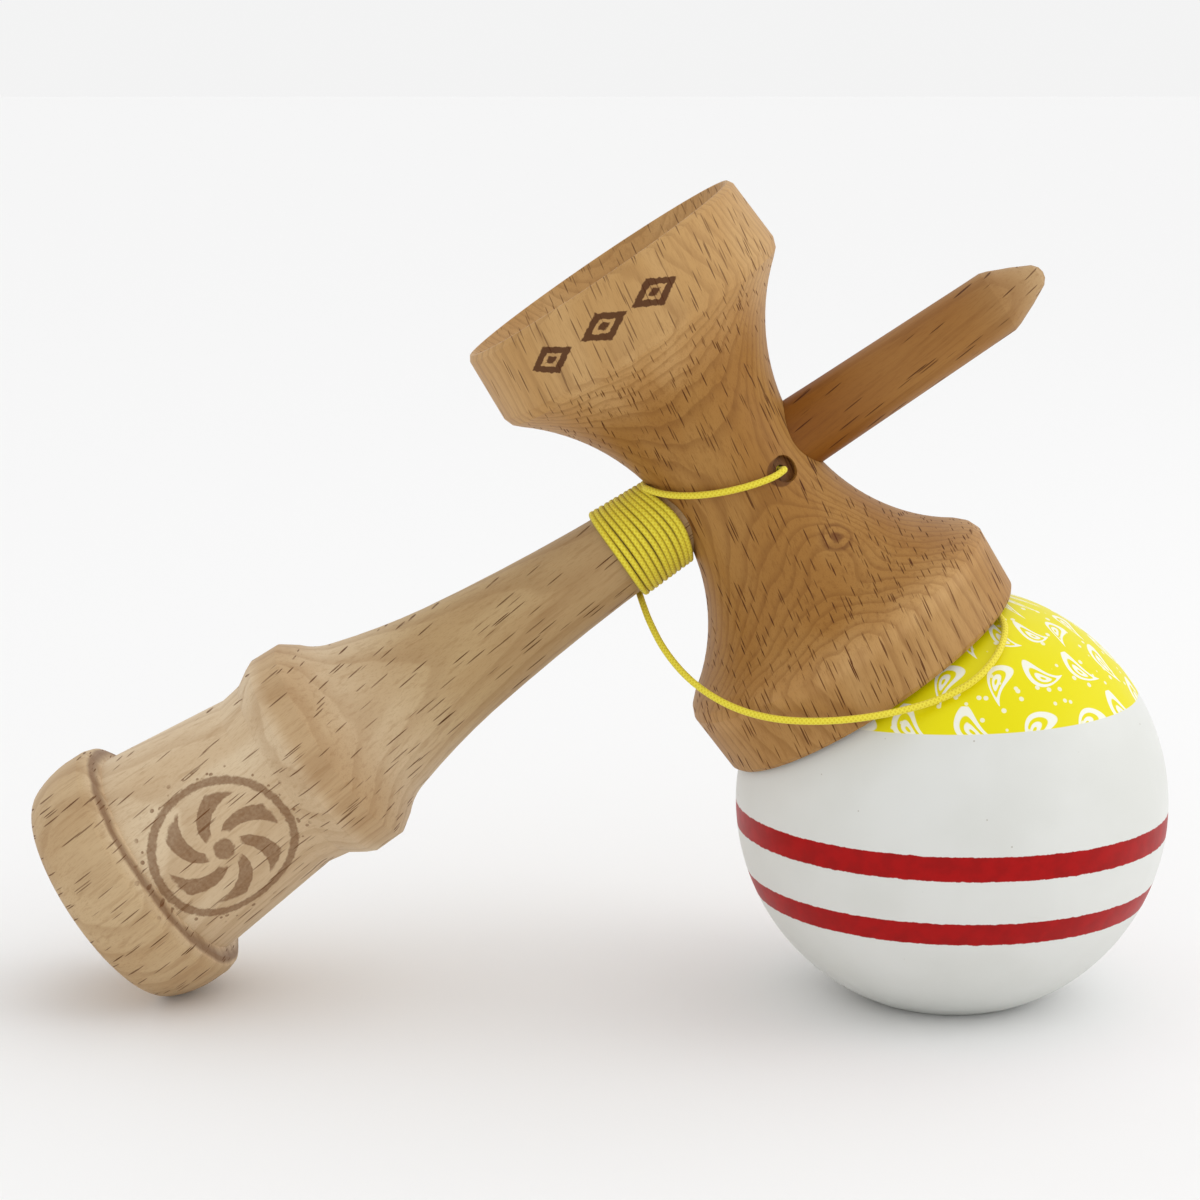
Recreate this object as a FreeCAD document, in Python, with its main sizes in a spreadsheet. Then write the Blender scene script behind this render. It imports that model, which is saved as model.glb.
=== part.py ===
import FreeCAD, Part
import os
from math import acos, atan2, cos, pi, sqrt, tan

import Sketcher

# Kendama: a turned beech handle (ken) with a cross piece of two cups (sarado) slipped over its
# spike, a painted ball (tama) under the big cup, and a thin string wound round the handle.
#
# Part frame, in millimetres: the origin is on the ground under the middle of the resting object,
# +X towards the ball, +Z up. The ken leans over the ground, from its base edge to the ball.
#
# Handle frame, shared by the ken, the sarado and the string on them: u runs along the ken towards
# its spike, w along the sarado towards its small cup, and y across both, away from the viewer of
# the string side. Its origin is where the two axes cross.

os.makedirs("parts", exist_ok=True)
doc = FreeCAD.newDocument("kendama")
sheet = doc.addObject("Spreadsheet::Sheet", "Sizes")
V = FreeCAD.Vector

# Driving sizes that are not corners of an outline.
SIZES = [
    ("lean_deg", 34.01, "lean of the ken over the ground"),
    ("seat_u", 0.63, "the crossing of the axes is this far up the ken from the ball's middle"),
    ("seat_y", -0.31, "and this far before it"),
    ("seat_w", 55.95, "and this far up the sarado"),
    ("ball_x", 49.897, "upright axis of the ball"),
    ("ball_z", 28.04, "height of the ball's centre, standing on the ring of its spike hole"),
    ("ball_radius", 30.5, "radius of the ball"),
    ("bigflare_bend", 28.0, "concave flare from the waist to the big cup"),
    ("smallflare_bend", 30.0, "concave flare from the waist to the small cup"),
    ("grip_bend", 330.0, "long concave sweep of the grip"),
    ("swell_bend", 105.0, "concave sweep where the grip swells"),
    ("collar_bend", 9.0, "concave fall behind the finger collar"),
    ("hole_turn_deg", -53.5, "direction of the string hole, from u towards -y"),
    ("hole_w", -1.7, "the string hole's offset towards the big cup"),
    ("string_dia", 0.95, "braided string"),
    ("thread_foot", 5.6, "the straight run in the ball starts on the end knot"),
    ("thread_top", 26.5, "and stops this far above the ball's centre"),
    ("coil_left", -20.1, "end of the winding towards the grip"),
    ("coil_right", -5.0, "the winding is cut back from here by the waist"),
    ("coil_left_r", 6.95, "outer radius of the winding, grip side"),
    ("coil_right_r", 6.68, "outer radius of the winding, sarado side"),
    ("coil_left_bore", 6.2, "inner radius of the winding, grip side"),
    ("coil_right_bore", 5.62, "inner radius of the winding, sarado side"),
    ("coil_waist_gap_r", 11.2, "the winding stays outside this radius of the sarado's axis"),
    ("knot_away", 7.95, "middle of the sarado knot from the sarado's axis"),
    ("knot_radius", 1.2, "radius of the sarado knot"),
    ("end_knot_radius", 1.8, "radius of the knot under the bead"),
    ("end_knot_flat_deg", 50.0, "latitude where the bead flattens that knot"),
    ("end_knot_height", 4.22, "middle of that knot above the ball's centre"),
]

# Outlines are lists of corners (name, distance along the axis, radius, bend). The bend says how the
# edge leads on to the next corner: nothing for a straight edge, or the name of an arc's radius,
# with a minus before it if the arc is hollow.
KEN = [
    ("tip", 50.45, 0.0, ""),
    ("tip_round", 50.25, 0.85, ""),
    ("tip_edge", 49.6, 1.65, ""),
    ("cone_waist", 47.0, 3.0, ""),
    ("spike_edge", 44.1, 4.3, ""),
    ("spike_shoulder", 43.0, 4.65, ""),
    ("seat_end", 12.5, 5.05, ""),
    ("seat_start", -11.0, 5.6, ""),
    ("grip_start", -23.3, 6.25, "-grip_bend"),
    ("swell_start", -47.2, 8.77, "-swell_bend"),
    ("grip_end", -60.8, 11.85, "-collar_bend"),
    ("collar_fall", -65.2, 14.4, ""),
    ("collar_top", -67.4, 15.95, ""),
    ("collar_crest", -71.6, 16.1, ""),
    ("collar_edge", -72.8, 15.55, ""),
    ("neck_edge", -75.0, 14.2, ""),
    ("neck", -78.3, 13.65, ""),
    ("body_end", -97.3, 15.85, ""),
    ("ring_corner", -97.6, 17.3, ""),
    ("ring_edge", -98.3, 18.3, ""),
    ("ring_shoulder", -99.6, 18.7, ""),
    ("ring_crest", -102.3, 18.75, "base_round"),
    ("base_round_end", -107.2, 17.7, "base_nose"),
    ("base_end", -109.5, 15.4, ""),
    ("base_lip", -109.45, 15.2, ""),
    ("base_middle", -109.45, 0.0, ""),
]
SARADO = [
    ("big_middle", -34.4, 0.0, ""),
    ("big_rim", -34.4, 23.0, ""),
    ("big_rim_edge", -33.8, 23.45, ""),
    ("big_band", -25.3, 23.95, ""),
    ("big_shoulder", -24.0, 23.4, ""),
    ("big_flare", -22.9, 22.3, "-bigflare_bend"),
    ("waist", 0.0, 10.5, "-smallflare_bend"),
    ("small_flare", 22.7, 21.1, ""),
    ("small_shoulder", 23.5, 21.9, ""),
    ("small_band", 24.8, 22.35, ""),
    ("small_rim_edge", 33.9, 21.8, ""),
    ("small_rim", 34.6, 21.35, ""),
    ("small_middle", 34.6, 0.0, ""),
]
KEN_BORE = [
    ("bore_left", -13.0, 0.0, ""),
    ("bore_left_edge", -13.0, 5.70, ""),
    ("bore_right_edge", 13.0, 5.093, ""),
    ("bore_right", 13.0, 0.0, ""),
]
STRING_HOLE = [
    ("hole_in", 4.0, 0.0, ""),
    ("hole_in_edge", 4.0, 1.5, ""),
    ("hole_pocket", 9.2, 1.5, ""),
    ("hole_neck", 9.2, 0.8, ""),
    ("hole_neck_end", 9.5, 0.8, ""),
    ("hole_mouth_floor", 9.5, 1.95, ""),
    ("hole_mouth_edge", 13.0, 1.95, ""),
    ("hole_out", 13.0, 0.0, ""),
]
# Each cup is hollowed by a ball: its name, axis, floor, and the way from the floor to its middle.
CUPS = [
    ("basecup", "x", -103.0, -20.5, "hollow of the base cup"),
    ("bigcup", "z", -20.9, -25.5, "hollow of the big cup"),
    ("smallcup", "z", 22.1, 23.7, "hollow of the small cup"),
]
# The ball's outlines are measured from the ball's centre.
TAMA = [
    ("ring", -28.04, 12.0, "ball_radius"),
    ("sink_edge", 30.352, 3.0, ""),
    ("string_hole_top", 28.95, 1.6, ""),
    ("string_hole_end", 12.75, 1.6, ""),
    ("bead_room_top", 10.8, 5.0, ""),
    ("bead_room_foot", 4.6, 5.4, ""),
    ("spike_hole_end", 2.0, 9.5, ""),
    ("spike_hole_mouth", -25.54, 9.5, ""),
]
BEAD = [
    ("bead_foot_in", 5.6, 1.1, ""),
    ("bead_foot", 5.6, 3.0, ""),
    ("bead_side_low", 6.6, 4.0, ""),
    ("bead_side_high", 10.6, 4.0, ""),
    ("bead_head", 11.6, 3.0, ""),
    ("bead_head_in", 11.6, 1.1, ""),
]
ARC_SIZES = [
    ("base_round", 14.0, "swell of the base ring"),
    ("base_nose", 3.6, "rounded edge that the base stands on"),
]

# Routes of the string, point by point. The bridge and the loop are in the handle frame.
BRIDGE = [
    (5.47, -7.4, -1.7),
    (6.2, -8.38, -1.7),
    (6.0, -9.6, -1.65),
    (4.4, -10.75, -1.5),
    (1.2, -11.55, -0.6),
    (-3.0, -11.2, 0.9),
    (-7.0, -9.4, 2.8),
    (-9.95, -6.75, 4.7),
    (-11.35, -4.15, 6.2),
]
LOOP = [
    (-20.75, 2.7, -6.3),
    (-21.1, 0.2, -7.9),
    (-21.5, -2.7, -10.1),
    (-21.6, -7.7, -13.9),
    (-20.5, -12.7, -18.5),
    (-17.8, -17.7, -22.9),
    (-14.1, -21.2, -26.5),
    (-9.7, -23.7, -29.4),
    (-4.5, -25.0, -32.2),
    (1.0, -25.0, -34.7),
    (6.6, -23.5, -36.9),
    (11.9, -22.4, -37.7),
    (16.3, -19.0, -37.3),
    (18.8, -14.7, -36.4),
    (19.65, -11.5, -35.4),
    (19.0, -8.7, -33.35),
    (18.7, -5.8, -32.2),
    (17.87, -2.7, -30.9),
    (16.15, 0.31, -31.1),
    (14.19, 0.31, -33.98),
]


def put(row, alias, value, meaning=""):
    sheet.set("A%d" % row, alias)
    sheet.set("B%d" % row, repr(float(value)))
    sheet.set("C%d" % row, meaning)
    sheet.setAlias("B%d" % row, alias)
    return row + 1


def fill_sheet():
    row = 1
    for alias, value, meaning in SIZES + ARC_SIZES:
        row = put(row, alias, value, meaning)
    for outline in (KEN, SARADO, KEN_BORE, STRING_HOLE, TAMA, BEAD):
        for name, along, radius, bend in outline:
            row = put(row, name + "_at", along, "place along the axis")
            if radius:
                row = put(row, name + "_rad", radius, "radius there")
    for name, letter, floor, reach, meaning in CUPS:
        row = put(row, name + "_floor", floor, meaning + ", its floor on the axis")
        row = put(row, name + "_reach", reach, meaning + ", from its floor to the middle of its ball")
    doc.recompute()


def size(alias):
    return float(getattr(sheet, alias))


def short_arc(start, end, bend, outwards):
    """The short arc between two points with the named radius, and whether it sets out from start."""
    radius = size(bend.lstrip("-"))
    across = V(start.y - end.y, end.x - start.x, 0).normalize()
    if (across.dot(outwards) < 0) != bend.startswith("-"):
        across = -across
    half = start.distanceToPoint(end) / 2
    centre = (start + end) / 2 - across * sqrt(radius * radius - half * half)
    first = atan2(start.y - centre.y, start.x - centre.x)
    last = atan2(end.y - centre.y, end.x - centre.x)
    forwards = (last - first) % (2 * pi) < pi
    if not forwards:
        first, last = last, first
    first = first % (2 * pi)
    circle = Part.Circle(centre, V(0, 0, 1), radius)
    return Part.ArcOfCircle(circle, first, first + (last - first) % (2 * pi)), forwards


def turned(name, corners, axis):
    """A solid turned about the X or Z axis from a closed outline held to the sheet's cells."""
    along_is_x = axis == "X"
    sketch = doc.addObject("Sketcher::SketchObject", name + "_outline")
    sketch.Placement.Rotation = FreeCAD.Rotation(V(1, 0, 0), 90)
    points = []
    for corner, along, radius, bend in corners:
        points.append(V(along, radius, 0) if along_is_x else V(radius, along, 0))
    outwards = V(0, 1, 0) if along_is_x else V(1, 0, 0)
    ends = []
    for index, (corner, along, radius, bend) in enumerate(corners):
        start = points[index]
        end = points[(index + 1) % len(points)]
        if bend:
            arc, forwards = short_arc(start, end, bend, outwards)
            sketch.addGeometry(arc, False)
            ends.append((1, 2) if forwards else (2, 1))
        else:
            sketch.addGeometry(Part.LineSegment(start, end), False)
            ends.append((1, 2))
    for index in range(len(points)):
        after = (index + 1) % len(points)
        sketch.addConstraint(
            Sketcher.Constraint("Coincident", index, ends[index][1], after, ends[after][0])
        )
    for index, (corner, along, radius, bend) in enumerate(corners):
        at = (index, ends[index][0])
        along_kind, radius_kind = ("DistanceX", "DistanceY") if along_is_x else ("DistanceY", "DistanceX")
        hold(sketch, along_kind, at, along, "Sizes.%s_at" % corner)
        if radius:
            hold(sketch, radius_kind, at, radius, "Sizes.%s_rad" % corner)
        else:
            axis = -1 if along_is_x else -2
            sketch.addConstraint(Sketcher.Constraint("PointOnObject", at[0], at[1], axis))
        if bend:
            alias = bend.lstrip("-")
            number = sketch.addConstraint(Sketcher.Constraint("Radius", index, size(alias)))
            sketch.setExpression("Constraints[%d]" % number, "Sizes." + alias)
    solid = doc.addObject("Part::Revolution", name)
    solid.Source = sketch
    solid.Axis = V(1, 0, 0) if along_is_x else V(0, 0, 1)
    solid.Angle = 360
    solid.Solid = True
    doc.recompute()
    return solid


def hold(sketch, kind, at, value, expression):
    number = sketch.addConstraint(Sketcher.Constraint(kind, -1, 1, at[0], at[1], value))
    sketch.setExpression("Constraints[%d]" % number, expression)


# Where the ken's and the sarado's axes cross, above the ball that the sarado rests on.
CROSSING = (
    "Sizes.ball_x + Sizes.seat_u * cos(Sizes.lean_deg) - Sizes.seat_w * sin(Sizes.lean_deg)",
    "Sizes.seat_y",
    "Sizes.ball_z + Sizes.seat_u * sin(Sizes.lean_deg) + Sizes.seat_w * cos(Sizes.lean_deg)",
)


def lean_with_handle(item):
    item.Placement = FreeCAD.Placement(V(0, 0, 0), FreeCAD.Rotation(V(0, 1, 0), -size("lean_deg")))
    for letter, place in zip("xyz", CROSSING):
        item.setExpression("Placement.Base." + letter, place)


def stand_on_ball_axis(item):
    item.setExpression("Placement.Base.x", "Sizes.ball_x")
    item.setExpression("Placement.Base.z", "Sizes.ball_z")


def cut_from(label, base, tool):
    """The base with the tool cut out of it; the cut must take something away."""
    cut = doc.addObject("Part::Cut", label)
    cut.Base = base
    cut.Tool = tool
    doc.recompute()
    if not cut.Shape.Volume < base.Shape.Volume - 5:
        raise RuntimeError(label + " was not cut")
    return cut


def cup_ball(name):
    letter = [cup[1] for cup in CUPS if cup[0] == name][0]
    ball = doc.addObject("Part::Sphere", name)
    ball.setExpression("Radius", "abs(Sizes.%s_reach)" % name)
    ball.setExpression("Placement.Base." + letter, "Sizes.%s_floor + Sizes.%s_reach" % (name, name))
    return ball


def make_ken():
    lean_with_handle(cut_from("ken", turned("ken_turned", KEN, "X"), cup_ball("basecup")))


def make_sarado():
    string_hole = turned("string_hole", STRING_HOLE, "X")
    string_hole.setExpression("Placement.Base.z", "Sizes.hole_w")
    string_hole.setExpression("Placement.Rotation.Angle", "Sizes.hole_turn_deg")
    one_cup = cut_from("sarado_one_cup", turned("sarado_turned", SARADO, "Z"), cup_ball("bigcup"))
    cupped = cut_from("sarado_cupped", one_cup, cup_ball("smallcup"))
    bored = cut_from("sarado_bored", cupped, turned("ken_bore", KEN_BORE, "X"))
    lean_with_handle(cut_from("sarado", bored, string_hole))


def make_ball_pieces():
    for label, corners in (("tama", TAMA), ("bead", BEAD)):
        stand_on_ball_axis(turned(label, corners, "Z"))


def make_sarado_knot():
    knot = doc.addObject("Part::Sphere", "sarado_knot")
    knot.Label = "sarado_knot"
    knot.setExpression("Radius", "Sizes.knot_radius")
    out = "Sizes.knot_away * cos(Sizes.hole_turn_deg)"
    offsets = (
        " + %s * cos(Sizes.lean_deg) - Sizes.hole_w * sin(Sizes.lean_deg)" % out,
        " + Sizes.knot_away * sin(Sizes.hole_turn_deg)",
        " + %s * sin(Sizes.lean_deg) + Sizes.hole_w * cos(Sizes.lean_deg)" % out,
    )
    for letter, place, offset in zip("xyz", CROSSING, offsets):
        knot.setExpression("Placement.Base." + letter, place + offset)


def make_bead_knot():
    knot = doc.addObject("Part::Sphere", "bead_knot")
    knot.Label = "bead_knot"
    knot.setExpression("Radius", "Sizes.end_knot_radius")
    knot.setExpression("Angle1", "-Sizes.end_knot_flat_deg")
    knot.setExpression("Angle2", "Sizes.end_knot_flat_deg")
    knot.setExpression("Placement.Base.x", "Sizes.ball_x")
    knot.setExpression("Placement.Base.z", "Sizes.ball_z + Sizes.end_knot_height")


def cone_along_u(name, left_radius, right_radius):
    cone = doc.addObject("Part::Cone", name)
    cone.setExpression("Radius1", "Sizes." + left_radius)
    cone.setExpression("Radius2", "Sizes." + right_radius)
    cone.setExpression("Height", "Sizes.coil_right - Sizes.coil_left")
    cone.Placement.Rotation = FreeCAD.Rotation(V(0, 0, 1), V(1, 0, 0))
    cone.setExpression("Placement.Base.x", "Sizes.coil_left")
    return cone


def make_coil():
    """The winding as one closed sleeve, hollowed for the ken and cut back from the waist."""
    outside = cone_along_u("coil_outside", "coil_left_r", "coil_right_r")
    inside = cone_along_u("coil_inside", "coil_left_bore", "coil_right_bore")
    waist = doc.addObject("Part::Cylinder", "waist_room")
    waist.setExpression("Radius", "Sizes.coil_waist_gap_r")
    waist.setExpression("Height", "4 * Sizes.coil_left_r")
    waist.setExpression("Placement.Base.z", "-2 * Sizes.coil_left_r")
    doc.recompute()
    lean_with_handle(cut_from("string_coil", cut_from("coil_sleeve", outside, inside), waist))


def string_tube(label, route):
    """A tube along straight runs joined by tangent arcs, each as large as its runs allow."""
    points = [V(*point) for point in route]
    edges = []
    radii = []
    start = points[0]
    for before, corner, after in zip(points, points[1:], points[2:]):
        run_in = corner - before
        run_out = after - corner
        turned = acos(max(-1.0, min(1.0, run_in.dot(run_out) / (run_in.Length * run_out.Length))))
        reach = 0.45 * min(run_in.Length, run_out.Length)
        radius = reach / tan(turned / 2)
        towards = V(run_in).normalize()
        onwards = V(run_out).normalize()
        entry = corner - towards * reach
        leave = corner + onwards * reach
        inward = (onwards - towards).normalize()
        centre = corner + inward * (radius / cos(turned / 2))
        middle = centre - inward * radius
        edges.append(Part.LineSegment(start, entry).toShape())
        edges.append(Part.Arc(entry, middle, leave).toShape())
        radii.append(round(radius, 2))
        start = leave
    edges.append(Part.LineSegment(start, points[-1]).toShape())
    path = Part.Wire(edges)
    along = points[1] - points[0]
    circle = Part.Wire(Part.Circle(points[0], along, size("string_dia") / 2).toShape())
    tube = path.makePipeShell([circle], True, True)
    expected = pi * size("string_dia") ** 2 / 4 * path.Length
    print(label, "length %.1f" % path.Length, "radii", radii, "volume ratio %.4f" % (tube.Volume / expected))
    item = doc.addObject("Part::Feature", label)
    item.Label = label
    item.Shape = tube
    lean_with_handle(item)


def make_string_in_tama():
    """The straight run through the ball, from the bead's knot up towards the string hole's mouth."""
    thread = doc.addObject("Part::Cylinder", "string_in_tama")
    thread.Label = "string_in_tama"
    thread.setExpression("Radius", "Sizes.string_dia / 2")
    thread.setExpression("Height", "Sizes.thread_top - Sizes.thread_foot")
    thread.setExpression("Placement.Base.x", "Sizes.ball_x")
    thread.setExpression("Placement.Base.z", "Sizes.ball_z + Sizes.thread_foot")


NODES = [
    "ken",
    "sarado",
    "tama",
    "bead",
    "bead_knot",
    "sarado_knot",
    "string_bridge",
    "string_coil",
    "string_loop",
    "string_in_tama",
]


def check_and_write():
    for item in doc.Objects:
        if "Invalid" in item.State or "Error" in item.State:
            raise RuntimeError("%s failed: %s" % (item.Name, item.State))
    boxes = []
    for node in NODES:
        found = [item for item in doc.Objects if item.Label == node]
        shape = found[0].Shape
        if shape.isNull() or not shape.isValid() or len(shape.Solids) != 1:
            raise RuntimeError(node + " is not one valid solid")
        shape.exportStep("parts/%s.step" % node)
        box = shape.optimalBoundingBox(False)
        boxes.append(box)
        print("%-15s volume %9.1f  X %.2f..%.2f  Y %.2f..%.2f  Z %.2f..%.2f" % (
            node, shape.Volume, box.XMin, box.XMax, box.YMin, box.YMax, box.ZMin, box.ZMax))
    low = [min(getattr(box, side + "Min") for box in boxes) for side in "XYZ"]
    high = [max(getattr(box, side + "Max") for box in boxes) for side in "XYZ"]
    print("whole", ["%.3f..%.3f" % pair for pair in zip(low, high)])
    if max(abs(low[0] + high[0]), abs(low[1] + high[1]), abs(low[2])) > 0.05:
        raise RuntimeError("the part is not centred on its origin")


fill_sheet()
make_ken()
make_sarado()
make_ball_pieces()
make_bead_knot()
make_sarado_knot()
make_coil()
string_tube("string_bridge", BRIDGE)
string_tube("string_loop", LOOP)
make_string_in_tama()
doc.recompute()
check_and_write()
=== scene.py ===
from collections import namedtuple
from math import cos, pi, radians, sin

import bmesh
import bpy
from mathutils import Matrix, Vector


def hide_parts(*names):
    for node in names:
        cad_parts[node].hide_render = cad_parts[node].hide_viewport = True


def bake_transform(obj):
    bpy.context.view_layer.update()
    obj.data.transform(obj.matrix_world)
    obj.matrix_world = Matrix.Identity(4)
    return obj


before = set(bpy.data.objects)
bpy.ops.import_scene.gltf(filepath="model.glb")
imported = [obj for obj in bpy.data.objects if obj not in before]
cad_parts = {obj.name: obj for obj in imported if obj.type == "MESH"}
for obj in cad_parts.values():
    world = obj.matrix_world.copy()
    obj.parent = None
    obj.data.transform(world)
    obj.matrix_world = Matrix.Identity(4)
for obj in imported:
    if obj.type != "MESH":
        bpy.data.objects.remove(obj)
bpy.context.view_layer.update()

# A kendama at rest: the ken leans on its base cup, and the sarado's big cup sits on the ball.
# The handle frame has u up the ken, y away from the viewer and w up the sarado, in millimetres,
# from the point where the two axes cross.

MM = 0.001
PER_METRE = 1000
LEAN = radians(34.01)
U = Vector((cos(LEAN), 0, sin(LEAN)))
W = Vector((-sin(LEAN), 0, cos(LEAN)))
BALL = Vector((49.897, 0, 28.04)) * MM
BALL_RADIUS = 30.5
CROSSING = BALL + (0.63 * U + 55.95 * W + Vector((0, -0.31, 0))) * MM


def on_handle(u, y, w):
    """A place in the handle frame, in the scene's metres."""
    return CROSSING + (u * U + w * W + Vector((0, y, 0))) * MM


# Camera

LENS = 89.6
SENSOR_WIDTH = 36
CAMERA_FROM_BALL = Vector((-49.86, -412.2, 107.4)) * MM
CAMERA_TILT = radians(10.78)


def make_camera():
    data = bpy.data.cameras.new("camera")
    data.lens = LENS
    data.sensor_width = SENSOR_WIDTH
    camera = bpy.data.objects.new("camera", data)
    camera.location = BALL + CAMERA_FROM_BALL
    camera.rotation_euler = (radians(90) - CAMERA_TILT, 0, 0)
    bpy.context.collection.objects.link(camera)
    bpy.context.scene.camera = camera


make_camera()

# String: out of the sarado's hole, round its waist, round the ken, and loosely down to the ball.
# The routes are in the handle frame.

STRING_DIAMETER = 0.95
STRING_SIDES = 14
BRIDGE = [
    (5.47, -7.4, -1.7), (6.2, -8.38, -1.7), (6.0, -9.6, -1.65), (4.4, -10.75, -1.5), (1.2, -11.55, -0.6),
    (-3.0, -11.2, 0.9), (-7.0, -9.4, 2.8), (-9.95, -6.75, 4.7), (-11.35, -4.15, 6.2),
]
LOOP = [
    (-20.75, 2.7, -6.3), (-21.1, 0.2, -7.9), (-21.5, -2.7, -10.1), (-21.6, -7.7, -13.9),
    (-20.5, -12.7, -18.5), (-17.8, -17.7, -22.9), (-14.1, -21.2, -26.5), (-9.7, -23.7, -29.4),
    (-4.5, -25.0, -32.2), (1.0, -25.0, -34.7), (6.6, -23.5, -36.9), (11.9, -22.4, -37.7),
    (16.3, -19.0, -37.3), (18.8, -14.7, -36.4), (19.65, -11.5, -35.4), (19.0, -8.7, -33.35),
    (18.7, -5.8, -32.2), (17.87, -2.7, -30.9), (16.15, 0.31, -31.1), (14.19, 0.31, -33.98),
    (2.5, 0.31, -51.3),
]

# The winding, from the sarado towards the grip, with its angles in degrees.
WINDING_FROM = -20
WINDING_TO = 4100
TURN_POINTS = 14
FIRST_TURN = -11.7
WINDING_WIDTH = 8.6
CROWDING = 1.08
FIRST_BOW = 2.3
BOW_LOSS = 1.9
UNEVENNESS = 0.06
CLEARANCE = 0.03
# A smooth line passes inside its control points: its share of their distance from the axis.
INSIDE_POINTS = 0.75 + 0.25 * cos(2 * pi / TURN_POINTS)

# Where painted shade goes between the turns: the stretch of ken where gaps are looked for, how far above
# the ken a turn's top is, and how much lower a gap is.
GAPS_FROM = -21.5
GAPS_TO = -10.0
TURN_TOP = 0.93
GAP_DEPTH = 0.17


def ken_radius(u):
    """The ken's radius under the winding, where it narrows evenly towards the sarado."""
    return 5.6 - (u + 11.0) * 0.65 / 12.3


def winding():
    """The turns round the ken, bowed towards the sarado at the front and back, the first turn most."""
    points = []
    degree = WINDING_FROM
    while degree < WINDING_TO:
        done = (degree - WINDING_FROM) / (WINDING_TO - WINDING_FROM)
        around = radians(degree)
        bow = (FIRST_BOW - BOW_LOSS * done) * sin(around) ** 2
        u = FIRST_TURN - WINDING_WIDTH * done ** CROWDING + bow + UNEVENNESS * sin(9 * around / 7)
        reach = (ken_radius(u) + STRING_DIAMETER / 2 + CLEARANCE) / INSIDE_POINTS
        points.append((u, reach * sin(around), reach * cos(around)))
        degree += 360 / TURN_POINTS
    return points


def smooth_line(points):
    """The points of a smooth NURBS curve that the given points control."""
    curve = bpy.data.curves.new("route", "CURVE")
    curve.dimensions = "3D"
    curve.resolution_u = 6
    spline = curve.splines.new("NURBS")
    spline.points.add(len(points) - 1)
    for point, place in zip(spline.points, points):
        point.co = (*place, 1)
    spline.order_u = 3
    spline.use_endpoint_u = True
    holder = bpy.data.objects.new("route", curve)
    bpy.context.collection.objects.link(holder)
    bpy.context.view_layer.update()
    mesh = bpy.data.meshes.new_from_object(holder.evaluated_get(bpy.context.evaluated_depsgraph_get()))
    line = [vertex.co.copy() for vertex in mesh.vertices]
    bpy.data.objects.remove(holder)
    return line


def tube(name, line, radius, sides):
    """A tube along a line, and its length. Its UVs go from 0 to 1 around and in millimetres along."""
    mesh = bpy.data.meshes.new(name)
    build = bmesh.new()
    layer = build.loops.layers.uv.new("UVMap")
    angles = [2 * pi * number / sides for number in range(sides)]
    tangent = (line[1] - line[0]).normalized()
    side = tangent.orthogonal().normalized()
    rings = []
    marks = []
    travelled = 0.0
    for index, place in enumerate(line):
        before = line[max(index - 1, 0)]
        after = line[min(index + 1, len(line) - 1)]
        following = (after - before).normalized()
        side = (tangent.rotation_difference(following) @ side).normalized()
        tangent = following
        other = tangent.cross(side)
        travelled += (place - before).length
        marks.append(travelled / MM)
        rings.append([
            build.verts.new(place + radius * (cos(angle) * side + sin(angle) * other)) for angle in angles
        ])
    for index in range(len(rings) - 1):
        for number in range(sides):
            corners = ((number, index), (number + 1, index), (number + 1, index + 1), (number, index + 1))
            face = build.faces.new([rings[along][around % sides] for around, along in corners])
            face.smooth = True
            for loop, (around, along) in zip(face.loops, corners):
                loop[layer].uv = (around / sides, marks[along])
    build.faces.new(reversed(rings[0]))
    build.faces.new(rings[-1])
    build.to_mesh(mesh)
    build.free()
    piece = bpy.data.objects.new(name, mesh)
    bpy.context.collection.objects.link(piece)
    return piece, travelled


def mark_gaps(piece):
    """Marks how deep each point of the winding lies between its turns, from 0 on top to 1, for painted
    shade.
    """
    gap_shade = piece.data.attributes.new("gap_shade", "FLOAT", "POINT")
    for vertex in piece.data.vertices:
        offset = (vertex.co - CROSSING) / MM
        u = offset.dot(U)
        if GAPS_FROM < u < GAPS_TO:
            above_ken = Vector((offset.y, offset.dot(W))).length - ken_radius(u)
            gap_shade.data[vertex.index].value = min(max((TURN_TOP - above_ken) / GAP_DEPTH, 0.0), 1.0)


def make_string():
    line = smooth_line([on_handle(*point) for point in BRIDGE + winding() + LOOP])
    string, length = tube("string", line, STRING_DIAMETER / 2 * MM, STRING_SIDES)
    mark_gaps(string)
    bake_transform(string)
    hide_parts("string_bridge", "string_coil", "string_loop", "string_in_tama")
    return string


string = make_string()

# Looks


def colour(red, green, blue):
    """A colour from display values of 0 to 255."""
    linear = [(value / 255) ** 2.2 for value in (red, green, blue)]
    return (*linear, 1)


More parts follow.
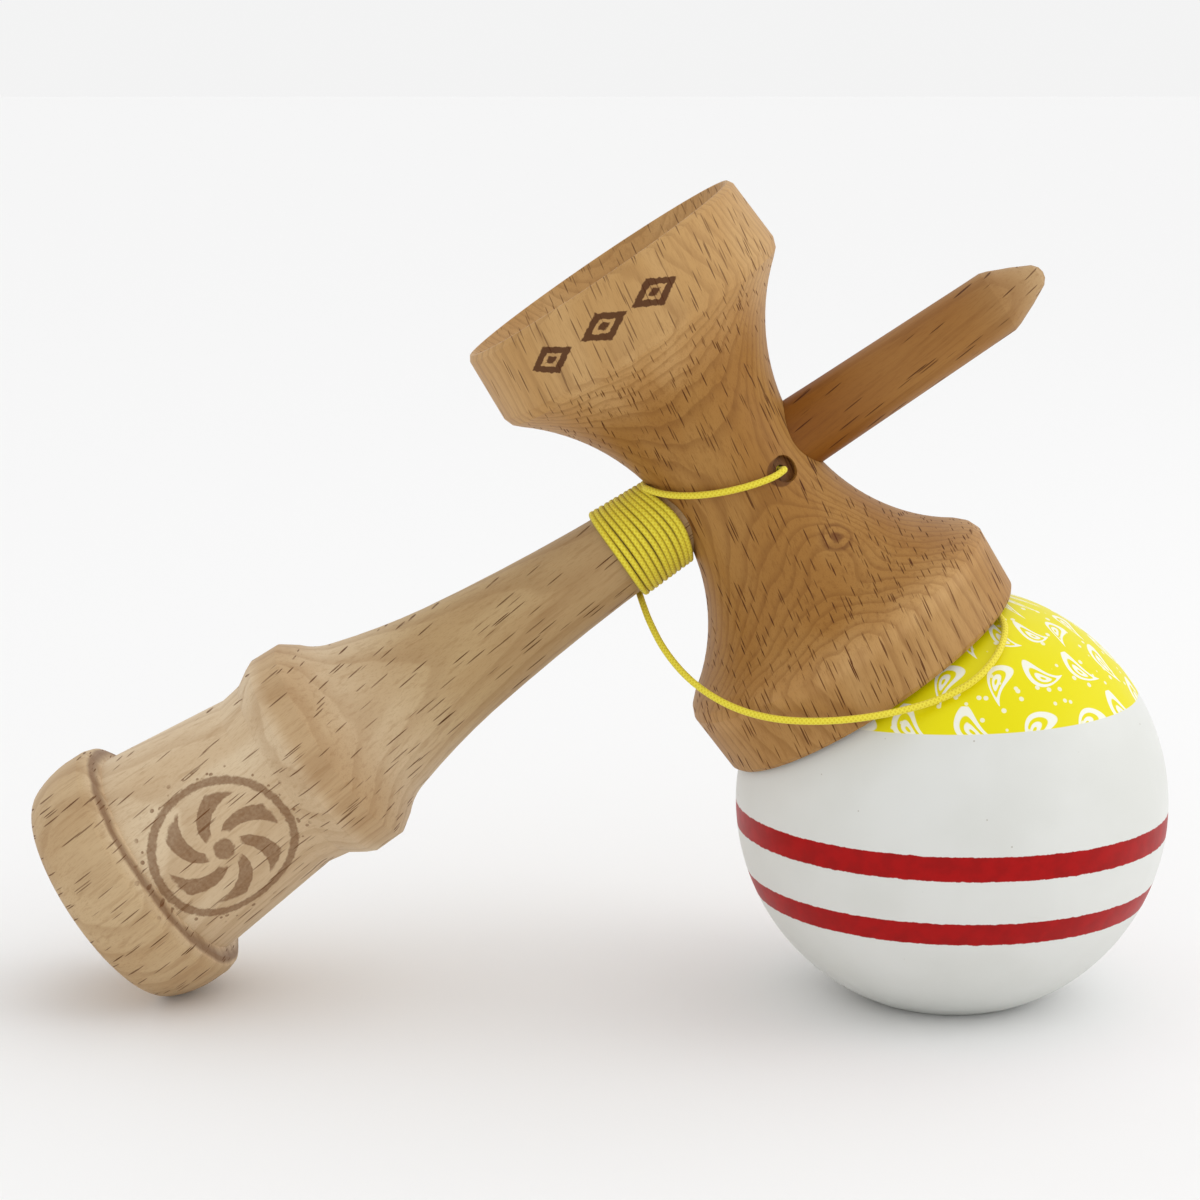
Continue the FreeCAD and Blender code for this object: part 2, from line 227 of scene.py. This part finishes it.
class Look:
    """A material, and short methods that add its nodes. Every value is a number, a tuple or a socket."""

    def __init__(self, name):
        self.material = bpy.data.materials.new(name)
        self.material.use_nodes = True
        self.tree = self.material.node_tree

    def give(self, node, inputs):
        """Sets or links a node's inputs, which are a list in order or a dictionary by name."""
        pairs = inputs.items() if isinstance(inputs, dict) else enumerate(inputs)
        for key, value in pairs:
            if isinstance(value, bpy.types.NodeSocket):
                self.tree.links.new(value, node.inputs[key])
            else:
                node.inputs[key].default_value = value

    def add(self, kind, inputs=(), out=0, **settings):
        """Adds a node and returns one of its outputs."""
        node = self.tree.nodes.new("ShaderNode" + kind)
        for name, value in settings.items():
            setattr(node, name, value)
        self.give(node, inputs)
        return node.outputs[out]

    def surface(self, inputs):
        """Gives the surface its inputs and returns the finished material."""
        self.give(self.tree.nodes["Principled BSDF"], inputs)
        return self.material

    def math(self, operation, *values):
        return self.add("Math", values, operation=operation)

    def fold(self, operation, values):
        total = values[0]
        for value in values[1:]:
            total = self.math(operation, total, value)
        return total

    def plus(self, *values):
        return self.fold("ADD", values)

    def times(self, *values):
        return self.fold("MULTIPLY", values)

    def most(self, *values):
        return self.fold("MAXIMUM", values)

    def linear(self, value, slope, start):
        return self.math("MULTIPLY_ADD", value, slope, start)

    def step(self, value, low, high):
        """0 below low, 1 above high and smooth between; the other way round if low is above high."""
        flipped = low > high
        ends = {"From Min": min(low, high), "From Max": max(low, high)}
        rise = self.add("MapRange", {"Value": value, **ends}, interpolation_type="SMOOTHSTEP")
        return self.math("SUBTRACT", 1.0, rise) if flipped else rise

    def window(self, value, low, low_full, high_full, high):
        """1 from low_full to high_full, and falling smoothly to 0 at low and high."""
        return self.times(self.step(value, low, low_full), self.step(value, high, high_full))

    def vector(self, x, y, z=0.0):
        return self.add("CombineXYZ", [x, y, z])

    def split(self, vector):
        return self.add("SeparateXYZ", [vector]).node.outputs

    def length(self, vector):
        return self.add("VectorMath", [vector], out="Value", operation="LENGTH")

    def distance(self, vector, place):
        return self.add("VectorMath", [vector, place], out="Value", operation="DISTANCE")

    def noise(self, vector, scale=1.0, detail=3.0, roughness=0.5, stretch=None):
        if stretch is not None:
            vector = self.add("VectorMath", [vector, stretch], operation="MULTIPLY")
        inputs = {"Vector": vector, "Scale": scale, "Detail": detail, "Roughness": roughness}
        return self.add("TexNoise", inputs)

    def cells(self, vector, scale=1.0):
        """The distance to the nearest of many scattered points."""
        return self.add("TexVoronoi", {"Vector": vector, "Scale": scale}, out="Distance")

    def over(self, tone, other, mask, strength=1.0, blend="MIX"):
        """The tone with another colour over it where the mask is 1, as strongly as stated."""
        amount = mask if strength == 1.0 else self.times(mask, strength)
        colours = {0: amount, 6: tone, 7: other}
        return self.add("Mix", colours, out=2, data_type="RGBA", blend_type=blend)

    def tinted(self, tone, tint, mask, strength=1.0):
        """The tone multiplied by a tint where the mask is 1."""
        return self.over(tone, tint, mask, strength, "MULTIPLY")

    def bump(self, height, strength, depth):
        """A bumped normal, with the depth in millimetres."""
        return self.add("Bump", {"Strength": strength, "Distance": depth * MM, "Height": height})

    def place(self, origin, lean=0.0):
        """The place in millimetres from an origin, in a frame that leans about Y."""
        turn = Matrix.Rotation(lean, 3, "Y")
        return self.add("Mapping", {
            "Vector": self.add("TexCoord", out="Object"),
            "Location": turn @ origin * -PER_METRE,
            "Rotation": (0, lean, 0),
            "Scale": (PER_METRE, PER_METRE, PER_METRE),
        })


# Beech: its colours, where its pith is across and into the grain, its growth rings and its dark rays

Wood = namedtuple("Wood", "pale middle dark ray pith ring_width ring_strength ray_share")

KEN_BEECH = Wood(
    pale=colour(217, 195, 162),
    middle=colour(204, 178, 143),
    dark=colour(160, 124, 85),
    ray=colour(96, 60, 32),
    pith=(-16.0, 52.0, 0.0),
    ring_width=2.9,
    ring_strength=0.26,
    ray_share=0.22,
)
SARADO_BEECH = Wood(
    pale=colour(194, 152, 99),
    middle=colour(182, 137, 82),
    dark=colour(128, 82, 38),
    ray=colour(88, 46, 18),
    pith=(6.0, 70.0, 0.0),
    ring_width=1.4,
    ring_strength=0.32,
    ray_share=0.29,
)
BEAD_BEECH = Wood(
    pale=colour(196, 160, 112),
    middle=colour(182, 140, 92),
    dark=colour(150, 104, 60),
    ray=colour(110, 64, 32),
    pith=(0.0, 30.0, 0.0),
    ring_width=2.0,
    ring_strength=0.3,
    ray_share=0.25,
)

# How far the grain turns from each piece's own axis.
KEN_GRAIN_SLOPE = 0.09
SARADO_GRAIN_SLOPE = 0.16

# Cells per millimetre along, across and into the grain: few along it, so the rays are long.
RAY_CELLS = (0.18, 3.4, 0.38)


def rays(look, grain, share, shift):
    """Short dark rays, thin across the grain and deeper into it, in a share of the cells."""
    scattered = look.add("VectorMath", [grain, RAY_CELLS, (shift, shift, shift)], operation="MULTIPLY_ADD")
    near = look.cells(scattered)
    chosen = look.math("LESS_THAN", near.node.outputs["Color"], share)
    return look.times(look.step(near, 0.38, 0.26), chosen)


def wood_grain(look, wood, along, across, depth, swell=0.0):
    """Beech: growth rings, fine fibres and dark rays. Returns its tone, its relief and its rays."""
    grain = look.vector(along, across, depth)
    drift = look.noise(grain, stretch=(0.02, 0.06, 0.06))
    from_pith = look.distance(look.vector(across, depth), wood.pith)
    from_pith = look.linear(swell, 4.0, look.linear(drift, 7.0, from_pith))
    phase = look.math("FRACT", look.math("DIVIDE", from_pith, wood.ring_width))
    ring = look.window(phase, 0.45, 0.92, 0.92, 1.0)
    patches = look.noise(grain, detail=2.0, stretch=(0.025, 0.12, 0.12))
    fibres = look.noise(grain, roughness=0.65, stretch=(0.6, 7.0, 7.0))
    streaks = look.noise(grain, detail=2.0, stretch=(0.08, 1.6, 1.6))
    strength = look.linear(look.noise(grain, detail=1.0, stretch=(0.15, 0.9, 0.9)), 1.1, 0.2)
    ray = look.most(rays(look, grain, wood.ray_share, 0.0), rays(look, grain, wood.ray_share, 31.7))

    tone = look.over(wood.pale, wood.middle, look.step(patches, 0.32, 0.62))
    tone = look.over(tone, wood.dark, ring, wood.ring_strength)
    tone = look.over(tone, wood.dark, look.step(streaks, 0.5, 0.75), 0.3)
    tone = look.over(tone, wood.dark, look.step(fibres, 0.48, 0.72), 0.3)
    tone = look.over(tone, wood.ray, look.times(ray, look.math("MINIMUM", strength, 0.95)))
    relief = look.math("SUBTRACT", look.times(fibres, 0.3), ray)
    return tone, relief, ray


def finish_wood(look, tone, relief, ray, burn=0.0):
    """A bare wooden surface, rougher in its rays and rougher and lower where it is burnt."""
    relief = look.math("SUBTRACT", relief, look.times(burn, 1.4))
    return look.surface({
        "Base Color": tone,
        "Roughness": look.linear(burn, 0.2, look.linear(ray, 0.2, 0.5)),
        "Specular IOR Level": 0.2,
        "Normal": look.bump(relief, 0.3, 0.1),
    })


# The emblem on the ken: its place along and round the ken, and the radii of its parts

EMBLEM_U = -86.6
EMBLEM_ANGLE = radians(-7)
EMBLEM_SCALE = 1.1
KEN_RADIUS_THERE = 14.9
VANES = 6
VANE_CURL = 0.17
VANE_RADII = (2.2, 2.6, 7.2, 7.6)
RING_RADII = (8.3, 8.6, 9.4, 9.7)
SPECK_RADII = (9.6, 9.9, 10.4, 11.8)


def burnt_pinwheel(look, u, y, w):
    """A pinwheel in a ring with loose specks, burnt into the front of the ken."""
    angle = look.math("ARCTAN2", w, look.times(y, -1.0))
    high = look.times(look.plus(angle, -EMBLEM_ANGLE), KEN_RADIUS_THERE / EMBLEM_SCALE)
    wide = look.times(look.plus(u, -EMBLEM_U), 1 / EMBLEM_SCALE)
    flat = look.vector(wide, high)
    ragged = look.linear(look.noise(flat, scale=1.3, detail=4.0, roughness=0.7), 0.9, -0.45)
    reach = look.plus(look.length(flat), ragged)
    turn = look.linear(reach, VANE_CURL, look.math("ARCTAN2", high, wide))
    vanes = look.step(look.math("SINE", look.times(turn, VANES)), -0.05, 0.2)
    vanes = look.times(vanes, look.window(reach, *VANE_RADII))
    ring = look.window(reach, *RING_RADII)
    hub = look.step(reach, 1.5, 1.2)
    specks = look.times(look.step(look.cells(flat, 0.85), 0.27, 0.2), look.window(reach, *SPECK_RADII))
    front = look.math("LESS_THAN", y, 0.0)
    uneven = look.linear(look.noise(flat, scale=2.2), 0.5, 0.5)
    return look.times(look.most(vanes, ring, hub, specks), front, uneven)


def ken_material():
    look = Look("ken_beech")
    place = look.place(CROSSING, LEAN)
    u, y, w = look.split(place)
    along = look.linear(w, KEN_GRAIN_SLOPE, u)
    across = look.linear(u, -KEN_GRAIN_SLOPE, w)
    tone, relief, ray = wood_grain(look, KEN_BEECH, along, across, y)

    base_rim = look.step(u, -96.5, -99.5)
    # Painted shade, together with a darker growth ring, in the valley past the bump's crest.
    valley_shade_and_ring = look.window(u, -72.0, -69.5, -67.0, -61.0)
    grip = look.window(u, -68.0, -45.0, 40.0, 60.0)
    spike = look.step(u, -12.0, 8.0)
    spike_tint = look.over(colour(216, 180, 130), colour(255, 252, 244), look.step(u, 36.0, 56.0))
    # Where the spike leaves the sarado: painted shadow from the sarado, together with darker wood.
    spike_foot_shade_and_tone = look.window(u, 4.0, 9.0, 12.0, 28.0)
    tone = look.tinted(tone, colour(232, 222, 206), base_rim)
    tone = look.tinted(tone, colour(226, 210, 186), valley_shade_and_ring, 0.7)
    tone = look.tinted(tone, colour(220, 208, 183), grip)
    tone = look.tinted(tone, spike_tint, spike)
    tone = look.tinted(tone, colour(228, 206, 150), spike_foot_shade_and_tone)

    emblem = burnt_pinwheel(look, u, y, w)
    wandering = look.linear(look.noise(place, scale=0.25), 0.5, u)
    dark_line = look.window(wandering, -98.0, -97.6, -97.4, -97.0)
    tone = look.over(tone, colour(112, 74, 44), emblem, 0.9)
    tone = look.over(tone, colour(104, 66, 38), dark_line, 0.7)
    return finish_wood(look, tone, relief, ray, emblem)


# The lozenges on the small cup's band: their places round the sarado in degrees, and their half sizes

LOZENGE_DEGREES = (-30, -7, 14)
LOZENGE_W = 29.3
LOZENGE_WIDE = 3.6
LOZENGE_HIGH = 2.0
BAND_RADIUS = 22.1


def burnt_lozenges(look, u, y, w):
    """Lozenges with a dot, burnt in a row into the outside of the small cup's band."""
    around = look.times(look.math("ARCTAN2", u, look.times(y, -1.0)), BAND_RADIUS)
    high = look.math("ABSOLUTE", look.plus(w, -LOZENGE_W))
    ragged = look.times(look.noise(look.vector(around, w), scale=1.6), 0.35)
    marks = []
    for degrees in LOZENGE_DEGREES:
        wide = look.math("ABSOLUTE", look.plus(around, -radians(degrees) * BAND_RADIUS))
        size = look.plus(look.times(wide, 1 / LOZENGE_WIDE), look.times(high, 1 / LOZENGE_HIGH), ragged)
        marks.append(look.window(size, 0.68, 0.76, 1.16, 1.26))
        marks.append(look.step(size, 0.5, 0.4))
    outside = look.step(look.length(look.vector(u, y)), 20.6, 20.9)
    return look.times(look.most(*marks), outside)


# A small knot in the wood below the string's hole, and painted shade in the hole itself, on the sarado's
# front

KNOT = (6.5, -11.0, -13.5)
STRING_HOLE = (5.6, -1.7, 0.0)


def sarado_material():
    look = Look("sarado_beech")
    place = look.place(CROSSING, LEAN)
    u, y, w = look.split(place)
    along = look.linear(u, SARADO_GRAIN_SLOPE, w)
    across = look.linear(w, -SARADO_GRAIN_SLOPE, u)
    from_knot = look.distance(place, KNOT)
    swell = look.step(from_knot, 9.0, 1.0)
    tone, relief, ray = wood_grain(look, SARADO_BEECH, along, across, y, swell)

    waist = look.window(w, -27.0, -20.0, 14.0, 22.0)
    big_band = look.step(w, -26.0, -28.0)
    small_band = look.step(w, 19.0, 27.0)
    tone = look.tinted(tone, colour(222, 208, 172), waist)
    tone = look.tinted(tone, colour(240, 236, 226), big_band)
    tone = look.over(tone, colour(214, 182, 128), small_band, 0.15)

    coils = look.math("SINE", look.linear(look.noise(place, scale=0.5), 5.0, look.times(from_knot, 5.0)))
    heart = look.times(look.step(from_knot, 3.0, 1.6), look.step(coils, -0.6, 0.8))
    marks = burnt_lozenges(look, u, y, w)
    # The string's hole, darkened inside on the front as painted shade.
    from_hole = look.distance(look.vector(u, w), STRING_HOLE)
    in_hole = look.times(look.step(from_hole, 2.1, 1.85), look.step(y, -3.0, -4.0))
    tone = look.over(tone, colour(92, 48, 20), heart, 0.7)
    tone = look.over(tone, colour(74, 38, 18), marks, 0.9)
    # Painted shade inside the string's hole.
    tone = look.over(tone, colour(84, 46, 22), in_hole, 0.7)
    return finish_wood(look, tone, relief, ray, marks)


def bead_material():
    look = Look("bead_wood")
    u, y, w = look.split(look.place(CROSSING, LEAN))
    return finish_wood(look, *wood_grain(look, BEAD_BEECH, w, u, y))


# Painted ball, in millimetres from its centre

CAP_EDGE = 15.7
CAP_EDGE_SLOPE = 0.024
RED_BANDS = ((-3.45, 0.0), (-13.0, -9.7))
PAINT_BLUR = 0.06
HOLE_RADIUS = 9.5
PAINT_WHITE = colour(224, 225, 221)
PAINT_WHITE_TOO = colour(218, 219, 214)
PAINT_RED = colour(168, 4, 6)
PAINT_RED_TOO = colour(154, 2, 4)
PRINT_YELLOW = colour(230, 219, 8)
PRINT_WHITE = colour(240, 240, 226)
DIRT = colour(150, 138, 120)
BARE_WOOD = colour(196, 158, 110)

# The print's drops: how many there are round the cap, how far apart the rows are, and their half sizes.
DROPS_ROUND = 19
DROP_ROWS = 7.4
DROP_SHIFT = 0.3
DROP_WIDE = 1.75
DROP_HIGH = 3.5


def drops(look, angle, down):
    """White teardrops with a curled tip, in rows round the cap, each turned its own way."""
    down = look.linear(down, 1 / DROP_ROWS, DROP_SHIFT)
    row = look.math("FLOOR", down)
    across = look.linear(row, 0.5, look.linear(angle, DROPS_ROUND / (2 * pi), DROP_SHIFT))
    column = look.math("FLOOR", across)
    key = look.vector(row, column, DROP_SHIFT)
    chance = look.add("TexWhiteNoise", {"Vector": key}, noise_dimensions="3D")
    x = look.times(look.plus(look.math("FRACT", across), -0.5), DROP_ROWS * 1.1)
    y = look.times(look.plus(look.math("FRACT", down), -0.5), DROP_ROWS)
    turned = {"Vector": look.vector(x, y), "Angle": look.linear(chance, 2.4, -1.2)}
    x, y = look.split(look.add("VectorRotate", turned, rotation_type="Z_AXIS"))[:2]
    bent = look.math("SUBTRACT", x, look.times(y, y, 0.13))
    taper = look.most(look.linear(y, -0.19, 0.82), 0.15)
    wide = look.times(look.math("DIVIDE", bent, taper), 1 / DROP_WIDE)
    size = look.length(look.vector(wide, look.times(y, 1 / DROP_HIGH)))
    outline = look.window(size, 0.64, 0.7, 0.97, 1.02)
    heart = look.window(size, 0.12, 0.18, 0.38, 0.44)
    return look.most(outline, heart)


def printed_cap(look, place, x, y, z, outward):
    """Yellow with white drops and small dots."""
    angle = look.math("ARCTAN2", y, x)
    down = look.times(look.math("ARCTAN2", outward, z), BALL_RADIUS)
    dots = look.times(look.step(look.cells(place, 0.5), 0.2, 0.15), 0.8)
    return look.over(PRINT_YELLOW, PRINT_WHITE, look.most(drops(look, angle, down), dots))


def paint_material():
    look = Look("ball_paint")
    place = look.place(BALL)
    x, y, z = look.split(place)
    outward = look.length(look.vector(x, y))
    wobble = look.linear(look.noise(place, scale=0.9, detail=4.0, roughness=0.65), 0.5, -0.25)
    height = look.plus(z, wobble)
    white = look.over(PAINT_WHITE, PAINT_WHITE_TOO, look.step(look.noise(place, scale=0.06), 0.3, 0.7))
    red = look.over(PAINT_RED, PAINT_RED_TOO, look.step(look.noise(place, scale=0.5), 0.35, 0.65))

    above_edge = look.math("SUBTRACT", z, look.linear(x, CAP_EDGE_SLOPE, CAP_EDGE))
    tone = look.over(white, printed_cap(look, place, x, y, z, outward), look.step(above_edge, -0.05, 0.05))
    for foot, top in RED_BANDS:
        edges = (foot - PAINT_BLUR, foot + PAINT_BLUR, top - PAINT_BLUR, top + PAINT_BLUR)
        tone = look.over(tone, red, look.window(height, *edges))
    pit = look.step(look.cells(place, 0.22), 0.035, 0.02)
    below_surface = look.step(look.length(place), 30.35, 30.15)
    in_hole = look.times(look.step(outward, HOLE_RADIUS + 0.12, HOLE_RADIUS), below_surface)
    tone = look.over(tone, DIRT, pit, 0.5)
    tone = look.over(tone, BARE_WOOD, in_hole)

    ripple = look.noise(place, scale=0.35, detail=4.0)
    relief = look.math("SUBTRACT", look.times(ripple, 0.6), look.times(pit, 1.5))
    return look.surface({
        "Base Color": tone,
        "Roughness": look.linear(ripple, 0.12, 0.36),
        "Specular IOR Level": 0.15,
        "Coat Weight": 0.05,
        "Coat Roughness": 0.25,
        "Normal": look.bump(relief, 0.12, 0.2),
    })


# Braided string: how many strands go round it each way, and the length of one's bump in millimetres

STRANDS = 4
STRAND_LENGTH = 0.62


def string_material():
    """Strands laid both ways round the string, as in a fine braid, with painted shade where turns meet."""
    look = Look("string_braid")
    round_it, along_it = look.split(look.add("TexCoord", out="UV"))[:2]
    around = look.times(round_it, 2 * pi * STRANDS)
    along = look.times(along_it, 2 * pi / STRAND_LENGTH)
    one_way = look.math("SINE", look.plus(along, around))
    other_way = look.math("SINE", look.math("SUBTRACT", along, around))
    strand = look.step(look.most(one_way, other_way), -0.4, 0.8)
    fuzz = look.noise(look.add("TexCoord", out="Object"), scale=5.0 * PER_METRE, detail=2.0)
    gap_shade = look.add("Attribute", out="Fac", attribute_name="gap_shade")
    tone = look.over(colour(220, 197, 28), colour(240, 224, 62), strand)
    tone = look.over(tone, colour(250, 240, 120), fuzz, 0.2)
    # Painted shade: the string darker where it lies down between the turns of the winding.
    tone = look.over(tone, colour(150, 124, 10), gap_shade, 0.7)
    return look.surface({
        "Base Color": tone,
        "Roughness": 0.7,
        "Specular IOR Level": 0.3,
        "Sheen Weight": 0.1,
        "Normal": look.bump(look.linear(fuzz, 0.25, strand), 0.5, 0.08),
    })


def dress():
    braid = string_material()
    materials = {
        "ken": ken_material(),
        "sarado": sarado_material(),
        "tama": paint_material(),
        "bead": bead_material(),
        "bead_knot": braid,
        "sarado_knot": braid,
    }
    for name, material in materials.items():
        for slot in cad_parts[name].material_slots:
            slot.material = material
    string.data.materials.clear()
    string.data.materials.append(braid)


dress()

# Floor and light, in metres

FLOOR_SIZE = 12
FLOOR_Z = -0.00002
LAMPS_AIM_AT = Vector((0, 0, 0.05))


def make_floor():
    bpy.ops.mesh.primitive_plane_add(size=FLOOR_SIZE, location=(0, 0, FLOOR_Z))
    floor = bpy.context.object
    floor.name = "floor"
    pale = {"Base Color": (0.9, 0.9, 0.9, 1), "Roughness": 0.9, "Specular IOR Level": 0.1}
    floor.data.materials.append(Look("pale_floor").surface(pale))


def make_lamp(name, kind, place, power, **settings):
    data = bpy.data.lights.new(name, kind)
    data.energy = power
    for key, value in settings.items():
        setattr(data, key, value)
    lamp = bpy.data.objects.new(name, data)
    lamp.location = place
    lamp.rotation_euler = (LAMPS_AIM_AT - Vector(place)).to_track_quat("-Z", "Y").to_euler()
    bpy.context.collection.objects.link(lamp)


def make_light():
    """A bright white surrounding with a soft sun from above, and a weak lamp at the right."""
    world = bpy.data.worlds.new("studio")
    world.use_nodes = True
    background = world.node_tree.nodes["Background"]
    background.inputs["Color"].default_value = (1, 1, 1, 1)
    background.inputs["Strength"].default_value = 0.9
    bpy.context.scene.world = world
    bpy.context.scene.view_settings.view_transform = "Standard"
    make_lamp("top_lamp", "SUN", (0.45, 0.15, 0.9), 0.45, angle=radians(80))
    make_lamp("right_lamp", "AREA", (0.8, -0.1, 0.35), 1.0, shape="DISK", size=0.5)


make_floor()
make_light()
